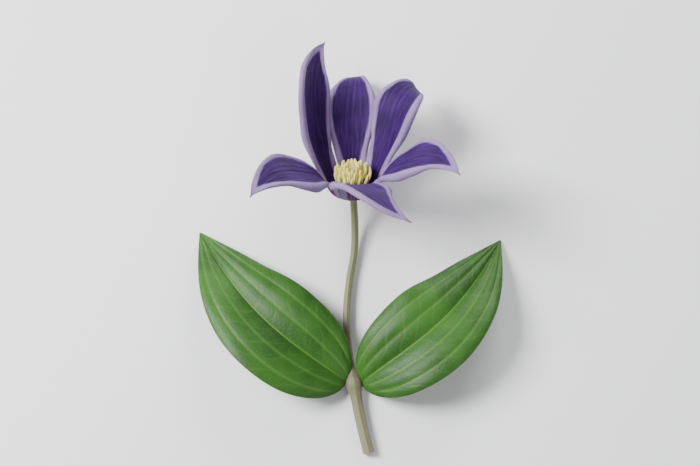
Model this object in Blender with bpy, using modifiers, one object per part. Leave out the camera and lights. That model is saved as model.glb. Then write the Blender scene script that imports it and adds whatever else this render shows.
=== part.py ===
"""An open clematis flower on its cut stem with one pair of leaves, lying on a flat surface.

Metres, +Z up. X runs from the cut end of the stem towards the flower, and the surface is z = 0.
The neck of the flower stalk turns up, so the flower looks up and away from the cut end. The tip
of the far sepal, both leaf tips, the leaf joint and the cut end touch the surface.
"""

from math import pi, radians, tan
from typing import NamedTuple

import bmesh
import bpy
import numpy as np

MM = 0.001
GAP = 0.3 * MM  # clear space between neighbouring pieces

# Flower head: the middle of the receptacle's rim, and the way the flower looks
HEAD = np.array([15.4, -0.4, 9.26]) * MM
FLOWER_TILT = radians(48)  # of the flower's axis above the surface
FLOWER_YAW = radians(5)  # of the flower's axis to the left of X

# Stem, flower stalk and receptacle
CUT_END = np.array([-58.6, -7.4, 1.6]) * MM
LEAF_JOINT = np.array([-38.6, -2.4, 2.6]) * MM
STEM_RADIUS = 1.6 * MM
STALK_RADIUS = 1.05 * MM
JOINT_RADIUS = 2.6 * MM
JOINT_REACH = 2.4 * MM  # of the swelling, to either side of the joint
RECEPTACLE_RADIUS = 2.5 * MM
RECEPTACLE_HEIGHT = 1.1 * MM
FLARE_LENGTH = 4.2 * MM  # over which the stalk widens into the receptacle

# Sepals
SEPAL_COUNT = 6
SEPAL_THICKNESS = 0.5 * MM
SEPAL_FOOT_RADIUS = RECEPTACLE_RADIUS + GAP + SEPAL_THICKNESS / 2
SEPAL_SECTOR = pi / SEPAL_COUNT
FOOT_SLOPE = radians(10)  # of a sepal above the flower's plane, where it starts
CUP_SLOPE = radians(66)  # of the cup's wall
SEPAL_OVERLAP = 0.1  # share of its sector by which a sepal is wider, beyond the cup
SEPAL_WIDEST = 0.37  # share of the length at which the blade is widest
SEPAL_RISE = 0.92  # power by which it widens from the foot
SEPAL_TAPER = 1.56  # power by which it narrows towards the tip
SEPAL_TAIL_WIDTH = 0.6 * MM  # of the slender tail before the tip
SEPAL_TIP_WIDTH = 0.2 * MM
MARGIN_START = 0.7  # share of the half width where the margin begins to roll back

# Leaves
LEAF_THICKNESS = 0.6 * MM
LEAF_FOOT_WIDTH = 1.8 * MM
LEAF_TIP_WIDTH = 0.4 * MM
LEAF_WIDEST = 0.37  # share of the length at which the blade is widest
LEAF_RISE = 0.62  # power by which it widens from the foot
LEAF_TAPER = 1.05  # power by which it narrows towards the tip
LEAF_FOLD = 0.34  # slope up from the midrib, in radians
LEAF_DROOP = 0.62  # by which that slope has fallen at the margin, in radians

# Boss: rings of stamens round the pistils
ANTHER_RADIUS = 0.6 * MM
ANTHER_SHARE = 0.5  # of the stamen's length
PISTIL_RING_RADIUS = 0.62 * MM
PISTIL_HEIGHT = 9.0 * MM


class Sepal(NamedTuple):
    """One sepal. Angles are in degrees; turn is counted from the far side towards the left."""

    turn: float
    length: float
    half_width: float
    spread: float  # above the flower's plane, at mid length
    curl: float  # how far the tip turns back from there
    twist: float  # of the blade about its midline, at the tip
    bend: float  # sideways sweep of the midline, at the tip
    roll: float  # how far the margins roll back


class Leaf(NamedTuple):
    """One leaf of the pair. Angles are in degrees; heading is from X towards the left."""

    name: str
    heading: float
    length: float
    half_width: float
    arch: float  # height of the midrib's arch
    bow: float  # sideways bow of the midrib
    lean: float  # turn of the blade about its midrib


class Ring(NamedTuple):
    """One ring of stamens, from its feet on the receptacle to its anther tips."""

    count: int
    foot_radius: float
    tip_radius: float
    height: float
    start: float  # angle of the first stamen, as a share of the spacing


SEPALS = [
    Sepal(0, 44 * MM, 10.2 * MM, 54, 110, -6, -16, 150),
    Sepal(60, 50 * MM, 12.0 * MM, 74, 16, -8, -86, 150),
    Sepal(120, 44 * MM, 10.5 * MM, 30, 50, -30, 34, 155),
    Sepal(180, 46 * MM, 10.5 * MM, 24, 66, -40, 58, 160),
    Sepal(240, 45 * MM, 10.5 * MM, 38, 56, 30, -30, 150),
    Sepal(300, 46 * MM, 11.6 * MM, 62, 150, 22, 42, 150),
]

LEAVES = [
    Leaf("leaf_left", 46, 63 * MM, 14.5 * MM, 8 * MM, 5 * MM, 7),
    Leaf("leaf_right", -42, 60 * MM, 13.5 * MM, 10 * MM, -5 * MM, -9),
]

RINGS = [
    Ring(14, 2.1 * MM, 5.2 * MM, 8.0 * MM, 0.0),
    Ring(12, 1.5 * MM, 3.6 * MM, 9.0 * MM, 0.5),
    Ring(10, 1.0 * MM, 2.1 * MM, 9.6 * MM, 0.0),
]
PISTIL_COUNT = 7


def unit(vectors):
    return vectors / np.linalg.norm(vectors, axis=-1, keepdims=True)


def ease(value):
    """A smooth step from 0 to 1 as value goes from 0 to 1."""
    x = np.clip(value, 0.0, 1.0)
    return x * x * (3 - 2 * x)


def turned(first, second, angle):
    """first and second, each turned by angle in their common plane, first towards second."""
    c = np.cos(angle)[..., None]
    s = np.sin(angle)[..., None]
    return c * first + s * second, c * second - s * first


def flower_axes():
    """The flower's axis, its far direction and its left direction."""
    flat = np.array([np.cos(FLOWER_YAW), np.sin(FLOWER_YAW), 0.0])
    axis = np.cos(FLOWER_TILT) * flat + np.array([0.0, 0.0, np.sin(FLOWER_TILT)])
    left = np.array([-flat[1], flat[0], 0.0])
    return axis, np.cross(left, axis), left


def smooth_path(keys):
    """Close-set points on a smooth curve through the keys, and the length run at each."""
    chord = run_length(keys)
    slope = np.gradient(keys, chord, axis=0)
    s = np.linspace(0, chord[-1], 600)
    i = np.clip(np.searchsorted(chord, s, side="right") - 1, 0, len(keys) - 2)
    span = (chord[i + 1] - chord[i])[:, None]
    x = (s - chord[i])[:, None] / span
    points = (1 + 2 * x) * (1 - x) ** 2 * keys[i] + x * (1 - x) ** 2 * span * slope[i]
    points += x**2 * (3 - 2 * x) * keys[i + 1] - x**2 * (1 - x) * span * slope[i + 1]
    return points, run_length(points)


def run_length(points):
    """The length run along the points, at each of them."""
    return np.concatenate([[0], np.cumsum(np.linalg.norm(np.diff(points, axis=0), axis=1))])


def sampled(at, run, values):
    """The values, known at each run, read at the places given by at."""
    return np.stack([np.interp(at, run, values[:, k]) for k in range(3)], axis=1)


def across(u, half_width, angle):
    """Offsets sideways and along the normal at u, for a section whose slope is angle(share of u)."""
    share = (np.arange(32) + 0.5) / 32
    slope = angle(np.abs(u)[:, None] * share)
    side = half_width * u * np.mean(np.cos(slope), axis=1)
    lift = half_width * np.abs(u) * np.mean(np.sin(slope), axis=1)
    return side, lift


def sepal_points(sepal, u, t):
    """Points on a sepal's middle surface: u from -1 to 1 across, t from 0 to 1 along.

    The midline leaves the receptacle outwards, turns up into the cup, spreads, and turns back at
    the tip. In the cup the sepal fills its sector of the circle, and beyond it tapers to a long
    point. The section is a shallow channel whose margins roll back.
    """
    axis, far, left = flower_axes()
    turn = radians(sepal.turn)
    out = np.cos(turn) * far + np.sin(turn) * left
    aside = np.cos(turn) * left - np.sin(turn) * far

    run = np.linspace(0, 1, 401)
    slope = FOOT_SLOPE + (CUP_SLOPE - FOOT_SLOPE) * ease((run - 0.02) / 0.13)
    slope += (radians(sepal.spread) - CUP_SLOPE) * ease((run - 0.14) / 0.3)
    slope -= radians(sepal.curl) * ease((run - 0.5) / 0.55)
    along, normal = turned(out, axis, slope)
    along, sideways = turned(along, aside, radians(sepal.bend) * run**2)
    sideways, normal = turned(sideways, normal, radians(sepal.twist) * run**2)
    step = sepal.length * (run[1] - run[0])
    middle = HEAD + SEPAL_FOOT_RADIUS * out
    middle = middle + np.cumsum(along * step, axis=0) - along[0] * step
    radius = (middle - HEAD) @ out

    blade = sepal.half_width * (run / SEPAL_WIDEST) ** SEPAL_RISE
    blade *= ((1 - run) / (1 - SEPAL_WIDEST)) ** SEPAL_TAPER
    blade += SEPAL_TAIL_WIDTH * ease((1 - run) / 0.12) + SEPAL_TIP_WIDTH
    reach = SEPAL_SECTOR + (tan(SEPAL_SECTOR) - SEPAL_SECTOR) * np.cos(slope)
    sector = (radius * reach - 0.7 * GAP) * (1 + SEPAL_OVERLAP * ease((run - 0.25) / 0.2))
    width = blade * sector / (blade**6 + sector**6) ** (1 / 6)
    half_width = np.interp(t, run, width)
    roll = radians(sepal.roll) * ease((t - 0.14) / 0.26) * np.clip(half_width / (2.4 * MM), 0, 1)
    channel = SEPAL_SECTOR * np.interp(t, run, np.sin(np.clip(slope, FOOT_SLOPE, pi / 2)))

    def slope_across(v):
        margin = ease((v - MARGIN_START) / (1 - MARGIN_START))
        return channel[:, None] * v - roll[:, None] * margin

    side, lift = across(u, half_width, slope_across)
    return (
        sampled(t, run, middle)
        + side[:, None] * sampled(t, run, sideways)
        + lift[:, None] * sampled(t, run, normal)
    )


def leaf_points(leaf, u, t):
    """Points on a leaf's middle surface: u from -1 to 1 across, t from 0 to 1 along.

    The midrib is a low arch that comes down to the surface at the tip. The blade is ovate,
    folded up a little at the midrib, and its margins turn down.
    """
    heading = radians(leaf.heading)
    ahead = np.array([np.cos(heading), np.sin(heading), 0.0])
    left = np.array([-ahead[1], ahead[0], 0.0])
    aside = np.sign(leaf.heading) * np.array([0.0, 1.0, 0.0])
    foot = LEAF_JOINT + (JOINT_RADIUS + GAP + 0.2 * MM) * aside
    up = np.array([0.0, 0.0, 1.0])

    run = np.linspace(0, 1, 401)
    height = foot[2] * (1 - run) + LEAF_THICKNESS / 2 * run + leaf.arch * np.sin(pi * run**0.8)
    reach = leaf.length * 0.97 * run
    bow = leaf.bow * np.sin(pi * run)
    middle = foot * [1, 1, 0] + np.outer(reach, ahead) + np.outer(bow, left) + np.outer(height, up)
    along = unit(np.gradient(middle, axis=0))
    sideways = unit(np.cross(up, along))
    normal = np.cross(along, sideways)
    sideways, normal = turned(sideways, normal, radians(leaf.lean) * np.sin(pi * run))

    blade = leaf.half_width * (t / LEAF_WIDEST) ** LEAF_RISE
    blade *= ((1 - t) / (1 - LEAF_WIDEST)) ** LEAF_TAPER
    half_width = blade + LEAF_FOOT_WIDTH * (1 - t) ** 6 + LEAF_TIP_WIDTH * t

    def slope_across(v):
        return LEAF_FOLD - LEAF_DROOP * v**1.5

    side, lift = across(u, half_width, slope_across)
    return (
        sampled(t, run, middle)
        + side[:, None] * sampled(t, run, sideways)
        + lift[:, None] * sampled(t, run, normal)
    )


def material(name, colour, roughness):
    made = bpy.data.materials.new(name)
    made.use_nodes = True
    shader = made.node_tree.nodes["Principled BSDF"]
    shader.inputs["Base Color"].default_value = (*colour, 1.0)
    shader.inputs["Roughness"].default_value = roughness
    shader.inputs["Metallic"].default_value = 0.0
    return made


def blade_object(name, points, cells_along, cells_across, thickness, finish, parts):
    """A thin blade: a square grid bent to shape by points(u, t), with a thickness."""
    bm = bmesh.new()
    bmesh.ops.create_grid(bm, x_segments=cells_across, y_segments=cells_along, size=1.0)
    flat = np.array([vertex.co for vertex in bm.verts])
    u = np.sin(flat[:, 0] * pi / 2)
    t = (flat[:, 1] + 1) / 2
    t = t * (0.7 + 0.3 * t)
    for vertex, place in zip(bm.verts, points(u, t)):
        vertex.co = place
    mesh = bpy.data.meshes.new(name)
    bm.to_mesh(mesh)
    bm.free()
    mesh.shade_smooth()
    mesh.materials.append(finish)
    blade = bpy.data.objects.new(name, mesh)
    parts.objects.link(blade)
    shell = blade.modifiers.new("thickness", "SOLIDIFY")
    shell.thickness = thickness
    shell.offset = 0.0
    return blade


def tube_object(name, points, radii, roundness, finish, parts):
    """A closed round rod along the points, with its own radius at each."""
    curve = bpy.data.curves.new(name, "CURVE")
    curve.dimensions = "3D"
    curve.bevel_depth = MM
    curve.bevel_resolution = roundness
    curve.render_resolution_u = 0
    curve.use_fill_caps = True
    spline = curve.splines.new("POLY")
    spline.points.add(len(points) - 1)
    for knot, place, radius in zip(spline.points, points, radii):
        knot.co = (*place, 1.0)
        knot.radius = radius / MM
    curve.materials.append(finish)
    tube = bpy.data.objects.new(name, curve)
    parts.objects.link(tube)
    return tube


def make_stem(finish, parts):
    """Stem, leaf joint, flower stalk and receptacle: one rod whose radius swells at both."""
    axis, _, _ = flower_axes()
    keys = np.array(
        [
            CUT_END,
            (CUT_END + LEAF_JOINT) / 2 + np.array([0, 0.3, -0.2]) * MM,
            LEAF_JOINT,
            LEAF_JOINT + np.array([9.0, 1.7, -0.1]) * MM,
            LEAF_JOINT + np.array([19.0, 2.7, -0.4]) * MM,
            HEAD + np.array([-25.0, 0.3, -7.3]) * MM,
            HEAD + np.array([-15.0, -0.9, -7.0]) * MM,
            HEAD + np.array([-7.4, -0.7, -5.2]) * MM,
            HEAD - 3 * MM * axis,
            HEAD,
            HEAD + RECEPTACLE_HEIGHT * axis,
        ]
    )
    path, run = smooth_path(keys)
    whole = run[-1]
    joint = np.linalg.norm(LEAF_JOINT - CUT_END)
    lengths = np.concatenate(
        [
            np.linspace(0, joint - 4.5 * MM, 6),
            joint + np.linspace(-3, 3, 7) * MM,
            np.linspace(joint + 4.5 * MM, whole - 5.5 * MM, 24),
            whole - np.array([4.2, 3.2, 2.4, 1.7, 1.2, 0.8, 0.4, 0.1, 0.0]) * MM,
        ]
    )
    plain = STEM_RADIUS + (STALK_RADIUS - STEM_RADIUS) * ease((lengths - joint) / (4 * MM) + 0.5)
    swelling = (JOINT_RADIUS - STEM_RADIUS) * np.exp(-(((lengths - joint) / JOINT_REACH) ** 2))
    flare = ease((lengths - whole + FLARE_LENGTH) / (FLARE_LENGTH - MM))
    dome = np.sqrt(np.clip((whole - lengths) / RECEPTACLE_HEIGHT, 0.15, 1))
    radii = (plain + swelling) * (1 - flare) + RECEPTACLE_RADIUS * flare * dome
    tube_object("stem", sampled(lengths, run, path), radii, 3, finish, parts)


def make_stamen(name, ring, angle, finish, parts):
    """A slender filament that rises from the receptacle and ends in a long blunt anther."""
    axis, far, left = flower_axes()
    out = np.cos(angle) * far + np.sin(angle) * left
    share = np.array([0.0, 0.2, 0.4, 1 - ANTHER_SHARE, 0.58, 0.75, 0.92, 1.0])
    spread = ring.foot_radius + (ring.tip_radius - ring.foot_radius) * np.sin(share * pi / 2)
    foot_height = RECEPTACLE_HEIGHT * (1.15 - 0.2 * ring.foot_radius / RECEPTACLE_RADIUS) + GAP
    height = foot_height + (ring.height - foot_height) * share
    points = HEAD + np.outer(spread, out) + np.outer(height, axis)
    radii = np.array([0.33, 0.33, 0.33, 0.4, 0.92, 1, 0.85, 0.35]) * ANTHER_RADIUS
    tube_object(name, points, radii, 1, finish, parts)


def make_pistil(name, index, finish, parts):
    """A small seed body under a long thin style; one stands in the middle, six round it."""
    axis, far, left = flower_axes()
    angle = 2 * pi * index / (PISTIL_COUNT - 1)
    out = np.cos(angle) * far + np.sin(angle) * left
    ring = 0.0 if index == 0 else PISTIL_RING_RADIUS
    share = np.array([0.0, 0.08, 0.2, 0.32, 0.6, 0.85, 1.0])
    foot_height = RECEPTACLE_HEIGHT + 1.2 * GAP
    height = foot_height + (PISTIL_HEIGHT - foot_height) * share
    spread = ring * (1 + 0.35 * share)
    points = HEAD + np.outer(spread, out) + np.outer(height, axis)
    radii = np.array([0.14, 0.25, 0.28, 0.2, 0.16, 0.14, 0.1]) * MM
    tube_object(name, points, radii, 0, finish, parts)


def main():
    for old in list(bpy.data.objects):
        bpy.data.objects.remove(old)
    parts = bpy.data.collections.new("clematis_flower")
    bpy.context.scene.collection.children.link(parts)

    make_stem(material("stem", (0.23, 0.24, 0.12), 0.6), parts)

    for leaf in LEAVES:
        finish = material(leaf.name, (0.07, 0.19, 0.035), 0.5)
        blade_object(
            leaf.name, lambda u, t: leaf_points(leaf, u, t), 18, 8, LEAF_THICKNESS, finish, parts
        )

    for number, sepal in enumerate(SEPALS, start=1):
        name = f"sepal_{number}"
        finish = material(name, (0.06, 0.02, 0.19), 0.6)
        blade_object(
            name, lambda u, t: sepal_points(sepal, u, t), 20, 12, SEPAL_THICKNESS, finish, parts
        )

    number = 0
    for ring in RINGS:
        for place in range(ring.count):
            number += 1
            name = f"stamen_{number:02d}"
            angle = 2 * pi * (place + ring.start) / ring.count
            make_stamen(name, ring, angle, material(name, (0.62, 0.58, 0.2), 0.7), parts)

    for index in range(PISTIL_COUNT):
        name = f"pistil_{index + 1}"
        make_pistil(name, index, material(name, (0.5, 0.55, 0.25), 0.7), parts)


main()
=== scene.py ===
"""Finished look of the clematis flower: velvety sepals, veined leaves, downy stem and a creamy boss."""

from math import pi, radians, tan
from typing import NamedTuple

import bpy
import numpy as np
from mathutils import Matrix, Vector


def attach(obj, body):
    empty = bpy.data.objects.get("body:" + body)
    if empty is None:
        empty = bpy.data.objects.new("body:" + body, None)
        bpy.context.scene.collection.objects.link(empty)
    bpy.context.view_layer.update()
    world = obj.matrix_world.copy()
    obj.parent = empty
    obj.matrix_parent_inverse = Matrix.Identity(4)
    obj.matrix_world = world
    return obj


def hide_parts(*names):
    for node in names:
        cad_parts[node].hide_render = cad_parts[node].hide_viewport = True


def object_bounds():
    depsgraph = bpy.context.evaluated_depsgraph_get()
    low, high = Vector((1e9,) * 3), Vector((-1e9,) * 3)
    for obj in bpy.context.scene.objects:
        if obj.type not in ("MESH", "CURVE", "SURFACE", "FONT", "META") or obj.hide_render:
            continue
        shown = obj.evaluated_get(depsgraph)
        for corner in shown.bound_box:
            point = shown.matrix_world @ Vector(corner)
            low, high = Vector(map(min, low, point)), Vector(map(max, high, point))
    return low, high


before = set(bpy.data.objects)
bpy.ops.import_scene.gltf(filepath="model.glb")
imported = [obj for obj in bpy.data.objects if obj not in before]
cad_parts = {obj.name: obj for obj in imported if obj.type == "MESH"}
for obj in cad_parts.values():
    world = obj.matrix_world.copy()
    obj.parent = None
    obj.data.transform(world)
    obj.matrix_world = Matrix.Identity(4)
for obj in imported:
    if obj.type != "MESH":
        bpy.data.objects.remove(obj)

cad_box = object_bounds()
MM = 0.001

# ---------------------------------------------------------------- the flower's measures

HEAD = np.array([15.4, -0.4, 9.26]) * MM  # middle of the receptacle's rim
FLOWER_TILT = radians(48)  # of the flower's axis above the surface
FLOWER_YAW = radians(5)  # of the flower's axis to the left of X

CUT_END = np.array([-58.6, -7.4, 1.6]) * MM
LEAF_JOINT = np.array([-38.6, -2.4, 2.6]) * MM
STEM_RADIUS = 1.6 * MM
STALK_RADIUS = 1.05 * MM
JOINT_RADIUS = 2.6 * MM
JOINT_REACH = 2.4 * MM  # of the swelling, to either side of the joint
RECEPTACLE_RADIUS = 2.5 * MM
RECEPTACLE_HEIGHT = 1.1 * MM
FLARE_LENGTH = 4.2 * MM  # over which the stalk widens into the receptacle

SEPAL_COUNT = 6
SEPAL_SECTOR = pi / SEPAL_COUNT
SEPAL_FOOT_RADIUS = RECEPTACLE_RADIUS - 0.2 * MM  # grown into the receptacle's rim
SEPAL_GAP = 0.2 * MM  # to its sector's edge, beyond the foot
SEPAL_OVERLAP = 0.1  # share of its sector by which a sepal is wider, beyond the cup
SEPAL_WIDEST = 0.37  # share of the length at which the blade is widest
SEPAL_RISE = 0.92  # power by which it widens from the foot
SEPAL_TAPER = 1.56  # power by which it narrows towards the tip
SEPAL_TAIL_WIDTH = 0.6 * MM  # of the slender tail before the tip
SEPAL_TIP_WIDTH = 0.15 * MM
FOOT_SLOPE = radians(10)  # of a sepal above the flower's plane, where it starts
CUP_SLOPE = radians(66)  # of the cup's wall
MARGIN_START = 0.7  # share of the half width where the margin begins to roll back
SEPAL_RIBS = (-0.44, -0.2, 0.0, 0.2, 0.44)  # places across the back, as shares of the half width
SEPAL_STRANDS = np.linspace(-0.6, 0.6, 15)  # places of the finer lengthwise strands
SEPAL_THICKNESS = 0.5 * MM
MARGIN_THICKNESS = 0.8 * MM  # of the felted margin
RIB_HEIGHT = 0.26 * MM  # of the ribs on a sepal's back
RIB_SPACING = 0.22  # of the coloured ribs, as a share of the half width
SEPAL_HAIRS = 2600
SEPAL_HAIR_LENGTH = 0.34 * MM
SEPAL_HAIR_WIDTH = 0.016 * MM

STEM_RIBS = 8
STEM_RIB_DEPTH = 0.045  # half the depth between ribs, as a share of the radius
STEM_HAIRS = 3200
STEM_HAIR_LENGTH = 0.3 * MM
STEM_HAIR_WIDTH = 0.014 * MM

LEAF_THICKNESS = 0.6 * MM
LEAF_FOOT_WIDTH = 1.8 * MM
LEAF_TIP_WIDTH = 0.3 * MM
LEAF_WIDEST = 0.37  # share of the length at which the blade is widest
LEAF_RISE = 0.62  # power by which it widens from the foot
LEAF_TAPER = 1.05  # power by which it narrows towards the tip
LEAF_FOLD = 0.34  # slope up from the midrib, in radians
LEAF_DROOP = 0.62  # by which that slope has fallen at the margin, in radians
LEAF_VEINS = (-0.7, -0.36, 0.0, 0.36, 0.7)  # places across, as shares of the half width

ANTHER_RADIUS = 0.6 * MM
ANTHER_SHARE = 0.5  # of the stamen's length
PISTIL_COUNT = 7
PISTIL_RING_RADIUS = 0.62 * MM
PISTIL_HEIGHT = 9.0 * MM
PISTIL_HAIRS = 46

CAMERA_AZIMUTH = radians(272)
CAMERA_ELEVATION = radians(76)
CAMERA_DISTANCE = 0.46  # from the middle of the flower's box, in metres
CAMERA_LENS = 85  # in millimetres
FLOOR_HALF_SIDE = 3.0  # in metres


class Sepal(NamedTuple):
    """One sepal. Angles are in degrees; turn is counted from the far side towards the left."""

    turn: float
    length: float
    half_width: float
    spread: float  # above the flower's plane, at mid length
    curl: float  # how far the tip turns back from there
    twist: float  # of the blade about its midline, at the tip
    bend: float  # sideways sweep of the midline, at the tip
    roll: float  # how far the margins roll back


class Leaf(NamedTuple):
    """One leaf of the pair. Angles are in degrees; heading is from X towards the left."""

    name: str
    heading: float
    length: float
    half_width: float
    arch: float  # height of the midrib's arch
    bow: float  # sideways bow of the midrib
    lean: float  # turn of the blade about its midrib


class Ring(NamedTuple):
    """One ring of stamens, from its feet on the receptacle to its anther tips."""

    count: int
    foot_radius: float
    tip_radius: float
    height: float
    start: float  # angle of the first stamen, as a share of the spacing


SEPALS = [
    Sepal(0, 44 * MM, 10.2 * MM, 54, 110, -6, -16, 150),
    Sepal(60, 50 * MM, 12.0 * MM, 74, 16, -8, -86, 150),
    Sepal(120, 44 * MM, 10.5 * MM, 30, 50, -30, 34, 155),
    Sepal(180, 46 * MM, 10.5 * MM, 24, 66, -40, 58, 160),
    Sepal(240, 45 * MM, 10.5 * MM, 38, 56, 30, -30, 150),
    Sepal(300, 46 * MM, 11.6 * MM, 62, 150, 22, 42, 150),
]

LEAVES = [
    Leaf("leaf_left", 46, 63 * MM, 14.5 * MM, 8 * MM, 5 * MM, 7),
    Leaf("leaf_right", -42, 60 * MM, 13.5 * MM, 10 * MM, -5 * MM, -9),
]

RINGS = [
    Ring(14, 2.1 * MM, 5.2 * MM, 8.0 * MM, 0.0),
    Ring(12, 1.5 * MM, 3.6 * MM, 9.0 * MM, 0.5),
    Ring(10, 1.0 * MM, 2.1 * MM, 9.6 * MM, 0.0),
]

# ---------------------------------------------------------------- numbers to shapes


def unit(vectors):
    return vectors / np.linalg.norm(vectors, axis=-1, keepdims=True)


def ease(value):
    """A smooth step from 0 to 1 as value goes from 0 to 1: 3x^2 - 2x^3."""
    x = np.clip(value, 0.0, 1.0)
    return x * x * (3 - 2 * x)


def ridge(distance, width):
    """A smooth ridge of height 1 at distance 0, a bell curve of the given width."""
    return np.exp(-((distance / width) ** 2))


def turned(first, second, angle):
    """first and second, each turned by angle in their common plane, first towards second."""
    c = np.cos(angle)[..., None]
    s = np.sin(angle)[..., None]
    return c * first + s * second, c * second - s * first


def flower_axes():
    """The flower's axis, its far direction and its left direction."""
    flat = np.array([np.cos(FLOWER_YAW), np.sin(FLOWER_YAW), 0.0])
    axis = np.cos(FLOWER_TILT) * flat + np.array([0.0, 0.0, np.sin(FLOWER_TILT)])
    left = np.array([-flat[1], flat[0], 0.0])
    return axis, np.cross(left, axis), left


def run_length(points):
    """The length run along the points, at each of them."""
    return np.concatenate([[0], np.cumsum(np.linalg.norm(np.diff(points, axis=0), axis=1))])


def smooth_path(keys):
    """Close-set points on a cubic Hermite curve through the keys, and the length run at each."""
    chord = run_length(keys)
    slope = np.gradient(keys, chord, axis=0)
    s = np.linspace(0, chord[-1], 600)
    i = np.clip(np.searchsorted(chord, s, side="right") - 1, 0, len(keys) - 2)
    span = (chord[i + 1] - chord[i])[:, None]
    x = (s - chord[i])[:, None] / span
    points = (1 + 2 * x) * (1 - x) ** 2 * keys[i] + x * (1 - x) ** 2 * span * slope[i]
    points += x**2 * (3 - 2 * x) * keys[i + 1] - x**2 * (1 - x) * span * slope[i + 1]
    return points, run_length(points)


def sampled(at, run, values):
    """The values, known at each run, read at the places given by at."""
    return np.stack([np.interp(at, run, values[:, k]) for k in range(3)], axis=1)


def across(u, half_width, angle):
    """Offsets sideways and along the normal at u, for a section whose slope is angle(share of u)."""
    share = (np.arange(32) + 0.5) / 32
    slope = angle(np.abs(u)[:, None] * share)
    side = half_width * u * np.mean(np.cos(slope), axis=1)
    lift = half_width * np.abs(u) * np.mean(np.sin(slope), axis=1)
    return side, lift


def make_piece(name, points, faces, finish, replaced, values=None):
    """A mesh object from points and faces, with named numbers on its points, riding on the body."""
    mesh = bpy.data.meshes.new(name)
    mesh.from_pydata(points.tolist(), [], faces)
    for label, numbers in (values or {}).items():
        layer = mesh.attributes.new(label, "FLOAT", "POINT")
        layer.data.foreach_set("value", np.ascontiguousarray(numbers, np.float32).ravel())
    mesh.shade_smooth()
    mesh.materials.append(finish)
    piece = bpy.data.objects.new(name, mesh)
    bpy.context.scene.collection.objects.link(piece)
    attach(piece, "root")
    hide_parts(*replaced)
    return piece


def sheet_normals(sheet):
    """Unit normals of a grid of points, along by across."""
    along = np.gradient(sheet, axis=0)
    aside = np.gradient(sheet, axis=1)
    return unit(np.cross(along, aside))


def closed_blade(sheet, upper, lower):
    """A closed thin shell round a grid of points: one face lies upper above it, one lower below.

    Each row of the grid becomes a loop, over the upper face and back under the lower one. The
    loops are joined by quads, and the first and last loops are closed by quads across them.
    """
    rows, columns, _ = sheet.shape
    normal = sheet_normals(sheet)
    top = sheet + normal * upper[..., None]
    bottom = (sheet - normal * lower[..., None])[:, ::-1]
    points = np.concatenate([top, bottom], axis=1).reshape(-1, 3)
    loop = 2 * columns
    i, j = np.meshgrid(np.arange(rows - 1), np.arange(loop), indexing="ij")
    k = (j + 1) % loop
    sides = np.stack([i * loop + j, (i + 1) * loop + j, (i + 1) * loop + k, i * loop + k], axis=-1)
    a = np.arange(columns - 1)
    cap = np.stack([a, a + 1, loop - 2 - a, loop - 1 - a], axis=-1)
    end = cap[:, ::-1] + (rows - 1) * loop
    return points, np.concatenate([sides.reshape(-1, 4), cap, end]).tolist()


def on_both_faces(grid):
    """A grid of numbers, repeated for the upper and the lower face of a closed blade."""
    return np.concatenate([grid, grid[:, ::-1]], axis=1)


def closed_rod(rings):
    """Joins rings of points into a closed rod: quads between rings and a fan at each end."""
    rows, columns, _ = rings.shape
    i, j = np.meshgrid(np.arange(rows - 1), np.arange(columns), indexing="ij")
    k = (j + 1) % columns
    sides = np.stack(
        [i * columns + j, i * columns + k, (i + 1) * columns + k, (i + 1) * columns + j], axis=-1
    )
    first = rows * columns
    a = np.arange(columns)
    b = (a + 1) % columns
    start = np.stack([np.full(columns, first), b, a], axis=-1)
    last = (rows - 1) * columns
    end = np.stack([np.full(columns, first + 1), last + a, last + b], axis=-1)
    points = np.concatenate([rings.reshape(-1, 3), rings[[0, -1]].mean(axis=1)])
    return points, sides.reshape(-1, 4).tolist() + start.tolist() + end.tolist()


def hairs_on(points, normals, weight, count, length, width, lean, draw):
    """Hairs as thin three-sided pyramids, at random places on a grid of points.

    Places are drawn with the given weights, then shifted at random within their cell. A hair
    starts just under the surface, and its tip lies along the normal plus a random lean. Hairs
    whose tips would pass through the floor are left out.
    """
    rows, columns, _ = points.shape
    share = (weight[:-1, :-1] / weight[:-1, :-1].sum()).ravel()
    chosen = draw.choice(share.size, count, p=share)
    i, j = chosen // (columns - 1), chosen % (columns - 1)
    a = draw.uniform(0, 1, (count, 1))
    b = draw.uniform(0, 1, (count, 1))
    start = points[i, j] + a * (points[i + 1, j] - points[i, j]) + b * (points[i, j + 1] - points[i, j])
    up = normals[i, j]
    aim = unit(up + lean * draw.normal(0, 1, (count, 3)))
    first = unit(np.cross(aim, unit(draw.normal(0, 1, (count, 3)))))
    second = np.cross(aim, first)
    start = start - up * width
    tip = start + aim * length * draw.uniform(0.6, 1.3, (count, 1))
    feet = [
        start + width * (np.cos(angle) * first + np.sin(angle) * second)
        for angle in (0, 2 * pi / 3, 4 * pi / 3)
    ]
    clear = tip[:, 2] > 0.05 * MM
    corners = np.stack([*feet, tip], axis=1)[clear]
    sides = np.array([[0, 1, 3], [1, 2, 3], [2, 0, 3], [0, 2, 1]])
    faces = np.arange(len(corners))[:, None, None] * 4 + sides
    return corners.reshape(-1, 3), faces.reshape(-1, 3), i[clear], j[clear]


def with_ends(numbers, rows, columns):
    """Numbers known on each ring of a rod, repeated round it and for its two end points."""
    grid = np.broadcast_to(numbers, (rows, columns)).reshape(-1)
    return np.concatenate([grid, [grid[0], grid[-1]]])


def ring_round(path, first, second, radius_first, radius_second):
    """Rings of points round a path: cos and sin of the angle along two directions."""
    return (
        path[:, None]
        + first[:, None] * radius_first[..., None]
        + second[:, None] * radius_second[..., None]
    )


# ---------------------------------------------------------------- sepals


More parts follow.
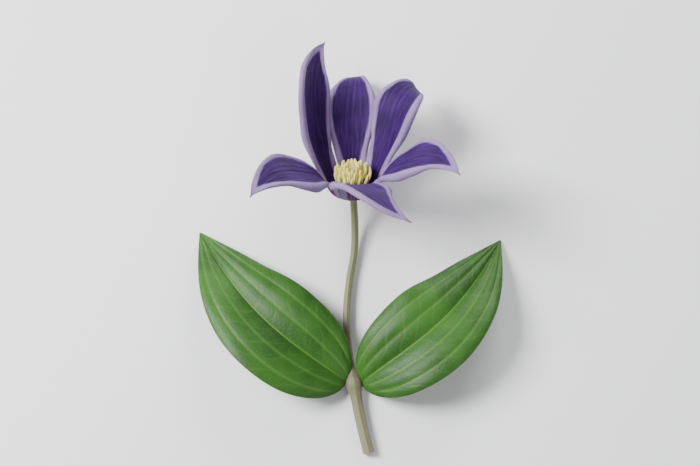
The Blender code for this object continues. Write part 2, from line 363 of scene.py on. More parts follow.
def sepal_sheet(sepal, t, u, phase):
    """A sepal's middle surface and half widths: t from 0 to 1 along, u from -1 to 1 across.

    The midline leaves the receptacle outwards, turns up into the cup, spreads, and turns back at
    the tip: its slope is a sum of smooth steps, and its points are the running sum of the slope.
    In the cup the sepal fills its sector of the circle, and beyond it tapers to a long point. The
    section's slope grows with u as a channel and falls again where the margin rolls back. The
    margins ripple: a sine along the blade, times the fourth power of u.
    """
    axis, far, left = flower_axes()
    turn = radians(sepal.turn)
    out = np.cos(turn) * far + np.sin(turn) * left
    aside = np.cos(turn) * left - np.sin(turn) * far

    run = np.linspace(0, 1, 401)
    slope = FOOT_SLOPE + (CUP_SLOPE - FOOT_SLOPE) * ease((run - 0.02) / 0.13)
    slope += (radians(sepal.spread) - CUP_SLOPE) * ease((run - 0.14) / 0.3)
    slope -= radians(sepal.curl) * ease((run - 0.5) / 0.55)
    along, normal = turned(out, axis, slope)
    along, sideways = turned(along, aside, radians(sepal.bend) * run**2)
    sideways, normal = turned(sideways, normal, radians(sepal.twist) * run**2)
    step = sepal.length * (run[1] - run[0])
    middle = HEAD + SEPAL_FOOT_RADIUS * out
    middle = middle + np.cumsum(along * step, axis=0) - along[0] * step
    radius = (middle - HEAD) @ out

    blade = sepal.half_width * (run / SEPAL_WIDEST) ** SEPAL_RISE
    blade *= ((1 - run) / (1 - SEPAL_WIDEST)) ** SEPAL_TAPER
    blade += SEPAL_TAIL_WIDTH * ease((1 - run) / 0.12) + SEPAL_TIP_WIDTH
    reach = SEPAL_SECTOR + (tan(SEPAL_SECTOR) - SEPAL_SECTOR) * np.cos(slope)
    sector = radius * reach - SEPAL_GAP * ease((run - 0.06) / 0.1)
    sector *= 1 + SEPAL_OVERLAP * ease((run - 0.25) / 0.2)
    width = blade * sector / (blade**6 + sector**6) ** (1 / 6)

    grid_t, grid_u = np.meshgrid(t, u, indexing="ij")
    flat_t, flat_u = grid_t.ravel(), grid_u.ravel()
    half_width = np.interp(flat_t, run, width)
    ripple = np.sin(2 * pi * 2.1 * flat_t + phase + np.sign(flat_u) * 0.9)
    roll = radians(sepal.roll) * ease((flat_t - 0.14) / 0.26) * np.clip(half_width / (2.4 * MM), 0, 1)
    roll *= 1 + 0.16 * ripple
    channel = SEPAL_SECTOR * np.interp(flat_t, run, np.sin(np.clip(slope, FOOT_SLOPE, pi / 2)))

    def slope_across(v):
        margin = ease((v - MARGIN_START) / (1 - MARGIN_START))
        return channel[:, None] * v - roll[:, None] * margin

    side, lift = across(flat_u, half_width, slope_across)
    wave = 0.42 * MM * ripple + 0.14 * MM * np.sin(2 * pi * 5.3 * flat_t + 2 * phase + flat_u)
    wave *= flat_u**4 * ease((flat_t - 0.2) / 0.2) * ease((1 - flat_t) / 0.3)
    points = (
        sampled(flat_t, run, middle)
        + side[:, None] * sampled(flat_t, run, sideways)
        + (lift + wave)[:, None] * sampled(flat_t, run, normal)
    )
    return points.reshape(len(t), len(u), 3), half_width.reshape(len(t), len(u))


def make_sepal(number, sepal, finish):
    """A felted blade: five ribs stand out on the back, fine veins run along the inner face.

    The blade thickens by a smooth step towards the felted margins, and is rounded off at the edge
    by the square root of 1 - u^12. Ribs and strands are bell curves across, faded out towards
    base and tip.
    """
    draw = np.random.default_rng(40 + number)
    t = np.linspace(0, 1, 190)
    t = t * (0.75 + 0.25 * t)
    u = np.sin(np.linspace(-1, 1, 61) * pi / 2)
    sheet, half_width = sepal_sheet(sepal, t, u, draw.uniform(0, 2 * pi))
    along, place = np.meshgrid(t, u, indexing="ij")
    reach = half_width / (8 * MM)
    thicker = (MARGIN_THICKNESS - SEPAL_THICKNESS) * ease((np.abs(place) - 0.6) / 0.3)
    thickness = (SEPAL_THICKNESS + thicker) / 2
    thickness *= 0.35 + 0.65 * np.clip(reach, 0, 1)
    edge = np.sqrt(np.clip(1 - place**12, 0.05, 1))
    fade = ease(along / 0.12) * ease((0.97 - along) / 0.25)
    ribs = sum(ridge(place - rib, 0.055) for rib in SEPAL_RIBS)
    strands = sum(ridge(place - rib, 0.02) for rib in SEPAL_STRANDS)
    felt = ease((np.abs(place) - 0.62) / 0.2) * draw.normal(0, 0.02, place.shape) * MM
    back = thickness + (RIB_HEIGHT * ribs + 0.03 * MM * strands) * fade + felt
    furrows = 0.08 * ribs + 0.12 * ridge(place, 0.05) + 0.05 * strands
    front = thickness - furrows * fade * MM + felt
    points, faces = closed_blade(sheet, front * edge, back * edge)
    inner = np.ones_like(place)
    inner[:, 0] = inner[:, -1] = 0.5
    outer = np.zeros_like(place)
    outer[:, 0] = outer[:, -1] = 0.5
    values = {
        "place_across": on_both_faces(place),
        "place_along": on_both_faces(along),
        "inner_face": np.concatenate([inner, outer], axis=1),
        "width_mm": on_both_faces(half_width / MM),
    }

    # felt of short hairs on the margins, and a thin down over the back
    grid = points.reshape(len(t), -1, 3)
    normals = sheet_normals(sheet)
    normals = np.concatenate([normals, -normals[:, ::-1]], axis=1)
    step = np.linalg.norm(np.gradient(grid, axis=0), axis=-1)
    area = step * np.linalg.norm(np.gradient(grid, axis=1), axis=-1)
    both = np.abs(values["place_across"])
    down = 0.12 * (1 - values["inner_face"])
    weight = area * (ease((both - 0.70) / 0.12) + down) * ease((values["place_along"] - 0.05) / 0.1)
    corners, more, i, j = hairs_on(
        grid, normals, weight, SEPAL_HAIRS, SEPAL_HAIR_LENGTH, SEPAL_HAIR_WIDTH, 0.55, draw
    )
    faces += (more + len(points)).tolist()
    points = np.concatenate([points, corners])
    for label, numbers in values.items():
        values[label] = np.concatenate([numbers.ravel(), np.repeat(numbers[i, j], 4)])
    name = f"sepal_{number}"
    make_piece(f"felted_{name}", points, faces, finish, [name], values)


# ---------------------------------------------------------------- leaves


def leaf_sheet(leaf, t, u):
    """A leaf's middle surface and half widths: t from 0 to 1 along, u from -1 to 1 across.

    The midrib's height is a straight fall to the surface plus a sine arch, and in plan it bows
    sideways by a sine. The half width is t^0.62 (1 - t)^1.05, scaled. The section's slope starts
    folded up at the midrib and turns down with u^1.5, and the margins ripple.
    """
    heading = radians(leaf.heading)
    ahead = np.array([np.cos(heading), np.sin(heading), 0.0])
    left = np.array([-ahead[1], ahead[0], 0.0])
    aside = np.sign(leaf.heading) * np.array([0.0, 1.0, 0.0])
    foot = LEAF_JOINT + (JOINT_RADIUS - 0.3 * MM) * aside
    up = np.array([0.0, 0.0, 1.0])

    run = np.linspace(0, 1, 401)
    height = foot[2] * (1 - run) + LEAF_THICKNESS / 2 * run + leaf.arch * np.sin(pi * run**0.8)
    reach = leaf.length * 0.97 * run
    bow = leaf.bow * np.sin(pi * run)
    middle = foot * [1, 1, 0] + np.outer(reach, ahead) + np.outer(bow, left) + np.outer(height, up)
    along = unit(np.gradient(middle, axis=0))
    sideways = unit(np.cross(up, along))
    normal = np.cross(along, sideways)
    sideways, normal = turned(sideways, normal, radians(leaf.lean) * np.sin(pi * run))

    grid_t, grid_u = np.meshgrid(t, u, indexing="ij")
    flat_t, flat_u = grid_t.ravel(), grid_u.ravel()
    blade = leaf.half_width * (flat_t / LEAF_WIDEST) ** LEAF_RISE
    blade *= ((1 - flat_t) / (1 - LEAF_WIDEST)) ** LEAF_TAPER
    half_width = blade + LEAF_FOOT_WIDTH * (1 - flat_t) ** 6 + LEAF_TIP_WIDTH * flat_t

    def slope_across(v):
        return LEAF_FOLD - LEAF_DROOP * v**1.5

    side, lift = across(flat_u, half_width, slope_across)
    ripple = np.sin(2 * pi * 2.6 * flat_t + np.sign(flat_u) * 1.2 + heading)
    lift = lift + 0.5 * MM * ripple * flat_u**4 * ease(flat_t / 0.2) * ease((0.9 - flat_t) / 0.3)
    points = (
        sampled(flat_t, run, middle)
        + side[:, None] * sampled(flat_t, run, sideways)
        + lift[:, None] * sampled(flat_t, run, normal)
    )
    return points.reshape(len(t), len(u), 3), half_width.reshape(len(t), len(u))


def make_leaf(leaf, finish):
    """A blade with five arched veins, sunk above and standing out below, and puckers between.

    Veins lie at fixed shares of the half width, so they arch from base to tip. Each is a bell
    curve across. Between veins the blade swells by the square of a sine, and slanting side veins
    cross the swellings as a narrow power of a cosine.
    """
    t = np.linspace(0, 1, 230)
    u = np.sin(np.linspace(-1, 1, 97) * pi / 2)
    sheet, half_width = leaf_sheet(leaf, t, u)
    along, place = np.meshgrid(t, u, indexing="ij")
    fade = ease(along / 0.08) * ease((1 - along) / 0.1)
    across_mm = place * half_width / MM
    vein_width = 0.32 * (1.3 - 0.7 * along)
    veins = sum(
        (1.0 if vein == 0 else 0.6) * ridge(across_mm - vein * half_width / MM, vein_width)
        for vein in LEAF_VEINS
    )
    slant = along * leaf.length / MM - 0.75 * np.abs(across_mm) - 0.03 * across_mm**2
    slant += 0.7 * np.sin(0.9 * across_mm + 1.3 * np.sin(9 * along)) + 0.5 * np.sin(21 * along)
    side_veins = np.clip(np.cos(2 * pi * slant / 6.3), 0, 1) ** 16 * ease(np.abs(place) / 0.1)
    puckers = np.sin(pi * place / 0.355) ** 2
    half = LEAF_THICKNESS / 2 * (0.55 + 0.45 * (1 - place**2)) / MM
    top = half + fade * (0.16 * puckers - 0.20 * veins - 0.04 * side_veins)
    bottom = half + fade * (0.26 * veins + 0.07 * side_veins - 0.05 * puckers)
    edge = np.sqrt(np.clip(1 - place**16, 0.06, 1))
    points, faces = closed_blade(sheet, top * edge * MM, bottom * edge * MM)
    inner = np.ones_like(place)
    inner[:, 0] = inner[:, -1] = 0.5
    outer = np.zeros_like(place)
    outer[:, 0] = outer[:, -1] = 0.5
    values = {
        "place_across": on_both_faces(place),
        "place_along": on_both_faces(along),
        "upper_face": np.concatenate([inner, outer], axis=1),
        "vein": on_both_faces(np.clip(veins + 0.2 * side_veins, 0, 1) * fade),
        "across_mm": on_both_faces(across_mm),
    }
    make_piece(f"veined_{leaf.name}", points, faces, finish, [leaf.name], values)


# ---------------------------------------------------------------- stem


def stem_path():
    """The stem's midline and the length run along it, from the cut end to the receptacle's top."""
    axis, _, _ = flower_axes()
    keys = np.array(
        [
            CUT_END,
            (CUT_END + LEAF_JOINT) / 2 + np.array([0, 0.3, -0.2]) * MM,
            LEAF_JOINT,
            LEAF_JOINT + np.array([9.0, 1.7, -0.1]) * MM,
            LEAF_JOINT + np.array([19.0, 2.7, -0.4]) * MM,
            HEAD + np.array([-25.0, 0.3, -7.3]) * MM,
            HEAD + np.array([-15.0, -0.9, -7.0]) * MM,
            HEAD + np.array([-7.4, -0.7, -5.2]) * MM,
            HEAD - 3 * MM * axis,
            HEAD,
            HEAD + RECEPTACLE_HEIGHT * axis,
        ]
    )
    return smooth_path(keys)


def make_stem(finish):
    """Stem, leaf joint, stalk and receptacle: a rod with eight low ribs and a swelling at the joint.

    The radius is a smooth step from stem to stalk, plus a bell curve at the joint, blended into
    the receptacle's dome. The ribs are a cosine of eight times the angle. The cut end is a flat
    face with a sunk pith.
    """
    curve, run = stem_path()
    whole = run[-1]
    joint = np.linalg.norm(LEAF_JOINT - CUT_END)
    body = np.linspace(0, whole, 520)
    lengths = np.concatenate([np.zeros(5), body, whole - np.array([0.15, 0.06, 0.0]) * MM])
    lengths[-3:] = whole
    path = sampled(lengths, run, curve)
    along = unit(np.gradient(sampled(body, run, curve), axis=0))
    along = np.concatenate([np.repeat(along[:1], 5, axis=0), along, np.repeat(along[-1:], 3, axis=0)])
    first = unit(np.cross(along, np.array([0.0, 1.0, 0.0])))
    second = np.cross(along, first)
    plain = STEM_RADIUS + (STALK_RADIUS - STEM_RADIUS) * ease((lengths - joint) / (4 * MM) + 0.5)
    swelling = (JOINT_RADIUS - STEM_RADIUS) * ridge(lengths - joint, JOINT_REACH)
    flare = ease((lengths - whole + FLARE_LENGTH) / (FLARE_LENGTH - MM))
    dome = np.sqrt(np.clip((whole - lengths) / RECEPTACLE_HEIGHT, 0.15, 1))
    radius = (plain + swelling) * (1 - flare) + RECEPTACLE_RADIUS * flare * dome
    radius[:5] *= [0.08, 0.36, 0.44, 0.82, 0.97]
    radius[-3:] *= [0.7, 0.4, 0.1]
    sink = np.zeros(len(lengths))
    sink[:5] = np.array([0.35, 0.3, 0.04, 0.0, 0.0]) * MM
    path = path + along * sink[:, None]
    angle = np.linspace(0, 2 * pi, 49)[:-1]
    smoother = 1 - 0.6 * ridge(lengths - joint, 3 * MM)
    ribs = 1 - STEM_RIB_DEPTH * (1 - np.cos(STEM_RIBS * angle)) * smoother[:, None]
    ribs = 1 + (ribs - 1) * (1 - flare)[:, None]
    ribbed = radius[:, None] * ribs
    rings = ring_round(path, first, second, ribbed * np.cos(angle), ribbed * np.sin(angle))
    points, faces = closed_rod(rings)
    count = (len(lengths), len(angle))
    cut = np.concatenate([[1, 1, 0.6, 0.6, 0.4], np.zeros(len(lengths) - 5)])
    # mask for the painted shade in the grooves between the ribs
    groove_shade = np.broadcast_to(0.5 - 0.5 * np.cos(STEM_RIBS * angle), count)
    values = {
        "length_mm": with_ends((lengths / MM)[:, None], *count),
        "groove_shade": with_ends(groove_shade, *count),
        "cut_face": with_ends(cut[:, None], *count),
        "joint": with_ends(ridge(lengths - joint, 5 * MM)[:, None], *count),
        "under_flower": with_ends(flare[:, None], *count),
    }

    # thin down
    draw = np.random.default_rng(21)
    normals = unit(rings - rings.mean(axis=1, keepdims=True))
    area = radius[:, None] * np.linalg.norm(np.gradient(path, axis=0), axis=-1)[:, None]
    weight = np.broadcast_to(area * ease((whole - lengths - 2 * MM) / MM)[:, None], count).copy()
    weight[:5] = 0
    corners, more, i, j = hairs_on(
        rings, normals, weight, STEM_HAIRS, STEM_HAIR_LENGTH, STEM_HAIR_WIDTH, 0.5, draw
    )
    faces += (more + len(points)).tolist()
    points = np.concatenate([points, corners])
    for label, numbers in values.items():
        grid = numbers[:-2].reshape(count)
        values[label] = np.concatenate([numbers, np.repeat(grid[i, j], 4)])
    make_piece("downy_stem", points, faces, finish, ["stem"], values)


# ---------------------------------------------------------------- boss


def make_stamen(number, ring, angle, finish, draw):
    """A strap-like filament that ends in a long anther with four lobes.

    The midline spreads outwards as a sine and rises evenly. The filament is an ellipse in
    section, 0.8 by 0.3 mm. The anther's radius is a rounded pulse, with lobes made by the cosine
    of two and four times the angle round it.
    """
    axis, far, left = flower_axes()
    angle = angle + draw.normal(0, 0.035)
    out = np.cos(angle) * far + np.sin(angle) * left
    s = np.linspace(0, 1, 44)
    tall = ring.height * draw.uniform(0.95, 1.04)
    tip_radius = ring.tip_radius * draw.uniform(0.95, 1.05)
    spread = ring.foot_radius + (tip_radius - ring.foot_radius) * np.sin(s * pi / 2)
    spread += draw.normal(0, 0.18) * MM * ease((s - 0.6) / 0.4)
    sway = draw.normal(0, 0.16) * MM * np.sin(pi * s)
    foot = RECEPTACLE_HEIGHT * (1.0 - 0.2 * ring.foot_radius / RECEPTACLE_RADIUS) - 0.2 * MM
    height = foot + (tall - foot) * s
    aside = np.cross(axis, out)
    path = HEAD + np.outer(spread, out) + np.outer(height, axis) + np.outer(sway, aside)
    along = unit(np.gradient(path, axis=0))
    flat = unit(aside - along * (along @ aside)[:, None])
    face = np.cross(along, flat)
    begin = 1 - ANTHER_SHARE
    rise = np.clip((s - begin) / (1 - begin), 0, 1)
    pulse = ease(rise / 0.16) * (1 - 0.3 * rise) * np.sqrt(np.clip(1 - rise**5, 0, 1)) * 1.12
    theta = np.linspace(0, 2 * pi, 21)[:-1]
    lobes = 1 + 0.10 * np.cos(2 * theta) - 0.17 * np.cos(4 * theta)
    anther = ANTHER_RADIUS * pulse[:, None] * lobes
    strap = (1 - 0.6 * np.clip(pulse, 0, 1))[:, None]
    tip = np.sqrt(np.clip((1 - s) / 0.02, 0.03, 1))[:, None]
    wide = np.maximum(anther, strap * 0.4 * MM * tip) * np.cos(theta)
    deep = np.maximum(anther * 0.86, strap * 0.15 * MM * tip) * np.sin(theta)
    points, faces = closed_rod(ring_round(path, flat, face, wide, deep))
    count = (len(s), len(theta))
    values = {
        "pollen": with_ends(ease((s - begin) / 0.05)[:, None], *count),
        "slit": with_ends(np.broadcast_to(0.5 + 0.5 * np.cos(4 * theta), count), *count),
        "ripeness": with_ends(np.full((1, 1), draw.uniform(0, 1)), *count),
    }
    name = f"stamen_{number:02d}"
    make_piece(f"pollen_{name}", points, faces, finish, [name], values)


def make_boss(finish):
    draw = np.random.default_rng(7)
    number = 0
    for ring in RINGS:
        for place in range(ring.count):
            number += 1
            angle = 2 * pi * (place + ring.start) / ring.count
            make_stamen(number, ring, angle, finish, draw)


def make_pistil(index, finish, draw):
    """A seed body under a silky style: hairs are thin pyramids that lean up along the style."""
    axis, far, left = flower_axes()
    angle = 2 * pi * index / (PISTIL_COUNT - 1)
    out = np.cos(angle) * far + np.sin(angle) * left
    ring = 0.0 if index == 0 else PISTIL_RING_RADIUS
    s = np.linspace(0, 1, 30)
    foot = RECEPTACLE_HEIGHT - 0.1 * MM
    height = foot + (PISTIL_HEIGHT - foot) * s
    path = HEAD + np.outer(ring * (1 + 0.35 * s), out) + np.outer(height, axis)
    radius = (0.13 + 0.17 * ridge(s - 0.16, 0.1)) * MM * (1 - 0.5 * s)
    radius[-1] *= 0.3
    theta = np.linspace(0, 2 * pi, 11)[:-1]
    first = np.broadcast_to(far, path.shape)
    second = np.broadcast_to(left, path.shape)
    wide = radius[:, None] * np.cos(theta)
    deep = radius[:, None] * np.sin(theta)
    points, faces = closed_rod(ring_round(path, first, second, wide, deep)[:, ::-1])
    share = np.linspace(0.2, 0.96, PISTIL_HAIRS)
    root = HEAD + np.outer(ring * (1 + 0.35 * share), out)
    root = root + np.outer(foot + (PISTIL_HEIGHT - foot) * share, axis)
    aim = draw.uniform(0, 2 * pi, PISTIL_HAIRS)
    away = np.outer(np.cos(aim), far) + np.outer(np.sin(aim), left)
    aside = np.cross(axis, away)
    tip = root + away * 0.42 * MM + axis * 0.5 * MM
    width = 0.03 * MM
    corners = [root + aside * width, root - aside * width, root + axis * width * 2, tip]
    hair_points = np.stack(corners, axis=1).reshape(-1, 3)
    hair_faces = np.array([[0, 1, 3], [1, 2, 3], [2, 0, 3], [0, 2, 1]])
    more = (np.arange(PISTIL_HAIRS)[:, None, None] * 4 + hair_faces + len(points)).reshape(-1, 3)
    points = np.concatenate([points, hair_points])
    name = f"pistil_{index + 1}"
    make_piece(f"silky_{name}", points, faces + more.tolist(), finish, [name])


# ---------------------------------------------------------------- materials


class Shader:
    """A Principled material under construction, with short helpers for its nodes."""

    def __init__(self, name, roughness):
        self.material = bpy.data.materials.new(name)
        self.material.use_nodes = True
        self.tree = self.material.node_tree
        self.surface = self.tree.nodes["Principled BSDF"]
        self.set(Roughness=roughness)

    def set(self, **values):
        for label, value in values.items():
            self.surface.inputs[label.replace("_", " ")].default_value = value

    def node(self, kind, **settings):
        made = self.tree.nodes.new(kind)
        for key, value in settings.items():
            setattr(made, key, value)
        return made

    def join(self, source, target):
        self.tree.links.new(source, target)

    def number(self, label):
        """A number stored on the piece's points."""
        return self.node("ShaderNodeAttribute", attribute_name=label).outputs["Fac"]

    def math(self, operation, first, second=0.0, third=0.0):
        made = self.node("ShaderNodeMath", operation=operation)
        for socket, value in zip(made.inputs, (first, second, third)):
            if isinstance(value, (int, float)):
                socket.default_value = value
            else:
                self.join(value, socket)
        return made.outputs[0]

    def step(self, value, low, high):
        """A smooth step: 0 where value is low, 1 where it is high."""
        made = self.node("ShaderNodeMapRange", interpolation_type="SMOOTHSTEP")
        made.inputs["From Min"].default_value = low
        made.inputs["From Max"].default_value = high
        self.join(value, made.inputs["Value"])
        return made.outputs["Result"]

    def mix(self, share, first, second):
        """Colour mix: first where share is 0 and second where it is 1."""
        made = self.node("ShaderNodeMix", data_type="RGBA")
        self.join(share, made.inputs["Factor"])
        for socket, value in ((made.inputs["A"], first), (made.inputs["B"], second)):
            if isinstance(value, tuple):
                socket.default_value = (*value, 1.0)
            else:
                self.join(value, socket)
        return made.outputs["Result"]

    def noise(self, where, scale, detail=3.0, roughness=0.5):
        made = self.node("ShaderNodeTexNoise")
        made.inputs["Scale"].default_value = scale
        made.inputs["Detail"].default_value = detail
        made.inputs["Roughness"].default_value = roughness
        self.join(where, made.inputs["Vector"])
        return made.outputs["Fac"]

    def place(self):
        return self.node("ShaderNodeTexCoord").outputs["Object"]

    def vector(self, x, y, z=0.0):
        made = self.node("ShaderNodeCombineXYZ")
        for socket, value in zip(made.inputs, (x, y, z)):
            if isinstance(value, (int, float)):
                socket.default_value = value
            else:
                self.join(value, socket)
        return made.outputs["Vector"]

    def bump(self, height, distance, strength=1.0):
        made = self.node("ShaderNodeBump")
        made.inputs["Distance"].default_value = distance
        made.inputs["Strength"].default_value = strength
        self.join(height, made.inputs["Height"])
        self.join(made.outputs["Normal"], self.surface.inputs["Normal"])

    def colour(self, source):
        self.join(source, self.surface.inputs["Base Color"])


def sepal_finish():
    """Blue-violet inside with paler streaks and painted shade in its furrows and towards the boss,
    magenta ribs on a lilac back, pale felted margins.
    """
    s = Shader("sepal_velvet", 0.62)
    s.set(Sheen_Weight=0.05, Sheen_Roughness=0.45, Sheen_Tint=(0.62, 0.45, 0.9, 1.0))
    s.set(Specular_IOR_Level=0.14, Subsurface_Weight=0.04, Subsurface_Radius=(0.4, 0.15, 0.6))
    s.set(Subsurface_Scale=0.0012)
    across_blade = s.number("place_across")
    along_blade = s.number("place_along")
    inner = s.number("inner_face")
    width = s.number("width_mm")
    place = s.place()
    side = s.math("ABSOLUTE", across_blade)
    across_mm = s.math("MULTIPLY", across_blade, width)

    # fine lengthwise streaks, drawn out along the blade
    drawn_out = s.vector(s.math("MULTIPLY", across_mm, 1.5), s.math("MULTIPLY", along_blade, 4.0))
    strands = s.noise(drawn_out, 1.0, 4.0)
    cloud = s.noise(place, 160.0, 3.0)
    grain = s.noise(place, 6500.0, 2.0)

    deep = s.mix(s.step(cloud, 0.3, 0.7), (0.014, 0.0022, 0.043), (0.027, 0.0046, 0.076))
    inside = s.mix(s.math("MULTIPLY", s.step(strands, 0.48, 0.72), 0.6), deep, (0.062, 0.015, 0.158))
    wave = s.math("COSINE", s.math("MULTIPLY", across_blade, 2 * pi / RIB_SPACING))
    rib = s.step(wave, -0.2, 0.9)
    beside = s.step(s.math("ADD", side, s.math("MULTIPLY", strands, 0.12)), 0.50, 0.68)
    # painted shade: the inner face is darkened along its furrows, which lie over the ribs on the back
    furrow_shade = s.math("MULTIPLY", s.step(wave, 0.5, 1.0), s.math("SUBTRACT", 1.0, beside))
    inside = s.mix(s.math("MULTIPLY", furrow_shade, 0.5), inside, (0.009, 0.0016, 0.029))
    # painted shade: the inner face is darkened towards its base, near the boss
    throat_shade = s.math("SUBTRACT", 1.0, s.step(along_blade, 0.05, 0.26))
    inside = s.mix(s.math("MULTIPLY", throat_shade, 0.6), inside, (0.010, 0.0035, 0.030))

    # back: magenta panel with darker grooves between its ribs, and lilac flanks beside it
    panel = s.mix(rib, (0.040, 0.008, 0.045), (0.150, 0.034, 0.130))
    panel = s.mix(s.math("MULTIPLY", s.step(strands, 0.45, 0.8), 0.35), panel, (0.240, 0.110, 0.240))
    flank = s.mix(s.step(cloud, 0.3, 0.7), (0.170, 0.110, 0.250), (0.270, 0.195, 0.360))
    back = s.mix(beside, panel, flank)
    base = s.math("SUBTRACT", 1.0, s.step(along_blade, 0.0, 0.16))
    back = s.mix(s.math("MULTIPLY", base, 0.75), back, (0.070, 0.022, 0.028))

    body = s.mix(inner, back, inside)
    felt = s.mix(s.step(grain, 0.2, 0.8), (0.150, 0.098, 0.222), (0.280, 0.204, 0.368))
    felt = s.mix(s.math("MULTIPLY", s.step(cloud, 0.35, 0.7), 0.5), felt, (0.158, 0.092, 0.242))
    ragged = s.math("MULTIPLY", strands, 0.10)
    edge = s.step(s.math("ADD", side, ragged), 0.65, 0.76)
    from_edge = s.math("MULTIPLY", s.math("SUBTRACT", 1.0, s.math("ADD", side, ragged)), width)
    edge = s.math("MAXIMUM", edge, s.math("SUBTRACT", 1.0, s.step(from_edge, 1.3, 2.1)))
    edge = s.math("MULTIPLY", edge, s.step(along_blade, 0.06, 0.2))
    colour = s.mix(edge, body, felt)
    tip = s.step(along_blade, 0.93, 1.0)
    s.colour(s.mix(s.math("MULTIPLY", tip, 0.45), colour, (0.060, 0.035, 0.050)))
    s.bump(s.math("ADD", grain, s.math("MULTIPLY", strands, 0.8)), 0.00012, 0.6)
    return s.material


def leaf_finish():
    """Mid green above with paler veins, grey-green beneath, and a fine net of small veins."""
    s = Shader("leaf_blade", 0.48)
    s.set(Specular_IOR_Level=0.26, Subsurface_Weight=0.08, Subsurface_Radius=(0.3, 0.6, 0.1))
    s.set(Subsurface_Scale=0.001)
    upper = s.number("upper_face")
    vein = s.number("vein")
    across_mm = s.number("across_mm")
    along_blade = s.number("place_along")
    side = s.math("ABSOLUTE", s.number("place_across"))
    place = s.place()
    cloud = s.noise(place, 70.0, 4.0)
    grain = s.noise(place, 1900.0, 2.0)
    net = s.node("ShaderNodeTexVoronoi", feature="DISTANCE_TO_EDGE")
    net.inputs["Scale"].default_value = 1.25
    s.join(s.vector(across_mm, s.math("MULTIPLY", along_blade, 62.0)), net.inputs["Vector"])
    mesh_line = s.math("SUBTRACT", 1.0, s.step(net.outputs["Distance"], 0.0, 0.16))

    green = s.mix(s.step(cloud, 0.3, 0.7), (0.011, 0.050, 0.004), (0.027, 0.100, 0.009))
    green = s.mix(s.math("MULTIPLY", mesh_line, 0.22), green, (0.046, 0.140, 0.018))
    green = s.mix(s.math("MULTIPLY", vein, 0.7), green, (0.085, 0.190, 0.030))
    pale = s.mix(s.step(cloud, 0.3, 0.7), (0.085, 0.145, 0.050), (0.120, 0.190, 0.070))
    pale = s.mix(s.math("MULTIPLY", mesh_line, 0.4), pale, (0.070, 0.125, 0.042))
    pale = s.mix(s.math("MULTIPLY", vein, 0.7), pale, (0.190, 0.250, 0.115))
    colour = s.mix(upper, pale, green)
    rim = s.math("MULTIPLY", s.step(side, 0.965, 1.0), 0.5)
    s.colour(s.mix(rim, colour, (0.050, 0.070, 0.025)))
    relief = s.math("SUBTRACT", s.math("MULTIPLY", grain, 0.35), mesh_line)
    s.bump(relief, 0.00006, 0.35)
    return s.material


def stem_finish():
    """Grey-green and downy, tinged purple at the joint and beneath the flower, with painted shade in
    the grooves, pale at the cut.
    """
    s = Shader("stem_down", 0.6)
    s.set(Sheen_Weight=0.45, Sheen_Roughness=0.4, Sheen_Tint=(0.9, 0.9, 0.85, 1.0))
    place = s.place()
    groove_shade = s.number("groove_shade")
    cut = s.number("cut_face")
    cloud = s.noise(place, 110.0, 4.0)
    grain = s.noise(place, 2400.0, 2.0)
    green = s.mix(s.step(cloud, 0.3, 0.7), (0.120, 0.150, 0.052), (0.215, 0.215, 0.100))
    purple = s.math("MULTIPLY", s.step(cloud, 0.35, 0.6), s.math("ADD", s.number("joint"), 0.35))
    colour = s.mix(s.math("MINIMUM", purple, 0.75), green, (0.110, 0.040, 0.060))
    # painted shade: darker along the grooves between the ribs
    colour = s.mix(s.math("MULTIPLY", groove_shade, 0.3), colour, (0.060, 0.062, 0.030))
    colour = s.mix(s.math("MULTIPLY", s.number("under_flower"), 0.6), colour, (0.150, 0.070, 0.060))
    s.colour(s.mix(cut, colour, (0.430, 0.470, 0.260)))
    s.bump(s.math("ADD", grain, s.math("MULTIPLY", cloud, 0.5)), 0.0001, 0.6)
    return s.material


def stamen_finish():
    """Creamy yellow anthers with a powdery grain, on paler filaments."""
    s = Shader("stamen_cream", 0.75)
    s.set(Sheen_Weight=0.25, Sheen_Roughness=0.5, Subsurface_Weight=0.12)
    s.set(Subsurface_Radius=(0.6, 0.5, 0.15), Subsurface_Scale=0.0008)
    place = s.place()
    grain = s.noise(place, 4200.0, 2.0)
    ripe = s.mix(s.number("ripeness"), (0.560, 0.530, 0.080), (0.760, 0.660, 0.130))
    powder = s.mix(s.step(grain, 0.35, 0.7), ripe, (0.800, 0.740, 0.260))
    slit = s.math("MULTIPLY", s.step(s.number("slit"), 0.7, 1.0), 0.45)
    powder = s.mix(slit, powder, (0.330, 0.290, 0.090))
    stalk = s.mix(grain, (0.420, 0.430, 0.200), (0.520, 0.500, 0.300))
    s.colour(s.mix(s.number("pollen"), stalk, powder))
    s.bump(grain, 0.00008, 0.7)
    return s.material


def pistil_finish():
    """Silky greenish white."""
    s = Shader("pistil_silk", 0.5)
    s.set(Sheen_Weight=0.5, Sheen_Roughness=0.3)
    grain = s.noise(s.place(), 1500.0, 2.0)
    s.colour(s.mix(grain, (0.470, 0.530, 0.230), (0.680, 0.690, 0.420)))
    return s.material


# ---------------------------------------------------------------- stage


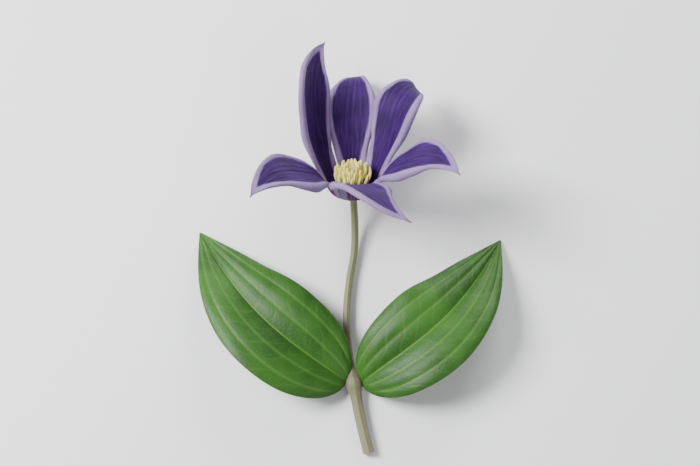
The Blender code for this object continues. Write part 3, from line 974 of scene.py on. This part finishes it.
def make_stage():
    """A plain pale floor, three soft lights and the camera, looking down on the flower."""
    mesh = bpy.data.meshes.new("floor")
    side = FLOOR_HALF_SIDE
    corners = [(-side, -side, 0), (side, -side, 0), (side, side, 0), (-side, side, 0)]
    mesh.from_pydata(corners, [], [(0, 1, 2, 3)])
    floor = bpy.data.objects.new("floor", mesh)
    bpy.context.scene.collection.objects.link(floor)
    paper = Shader("floor_paper", 0.8)
    paper.set(Base_Color=(0.78, 0.785, 0.79, 1.0))
    mesh.materials.append(paper.material)

    world = bpy.data.worlds.new("soft_room")
    world.use_nodes = True
    world.node_tree.nodes["Background"].inputs["Color"].default_value = (0.93, 0.95, 1.0, 1.0)
    world.node_tree.nodes["Background"].inputs["Strength"].default_value = 0.34
    bpy.context.scene.world = world

    lights = (
        ("key", (0.10, 0.45, 0.50), 0.28, 12.0),
        ("fill", (-0.45, -0.45, 0.45), 0.60, 2.0),
        ("rim", (0.55, -0.15, 0.30), 0.30, 3.5),
    )
    for name, spot, size, power in lights:
        lamp = bpy.data.lights.new(name, "AREA")
        lamp.energy = power
        lamp.size = size
        light = bpy.data.objects.new(name, lamp)
        light.location = spot
        light.rotation_euler = (-Vector(spot)).to_track_quat("-Z", "Y").to_euler()
        bpy.context.scene.collection.objects.link(light)

    back = Vector(
        (
            np.sin(CAMERA_AZIMUTH) * np.cos(CAMERA_ELEVATION),
            -np.cos(CAMERA_AZIMUTH) * np.cos(CAMERA_ELEVATION),
            np.sin(CAMERA_ELEVATION),
        )
    )
    lens = bpy.data.cameras.new("camera")
    lens.lens = CAMERA_LENS
    lens.clip_start = 0.01
    camera = bpy.data.objects.new("camera", lens)
    low, high = cad_box
    centre = (low + high) / 2
    camera.location = centre + back * CAMERA_DISTANCE
    camera.rotation_euler = (-back).to_track_quat("-Z", "Y").to_euler()
    bpy.context.scene.collection.objects.link(camera)
    bpy.context.scene.camera = camera


# ---------------------------------------------------------------- making it


make_stage()
make_stem(stem_finish())

leaf_green = leaf_finish()
for each_leaf in LEAVES:
    make_leaf(each_leaf, leaf_green)

sepal_velvet = sepal_finish()
for each_number, each_sepal in enumerate(SEPALS, start=1):
    make_sepal(each_number, each_sepal, sepal_velvet)

make_boss(stamen_finish())

pistil_silk = pistil_finish()
pistil_draw = np.random.default_rng(11)
for each_index in range(PISTIL_COUNT):
    make_pistil(each_index, pistil_silk, pistil_draw)
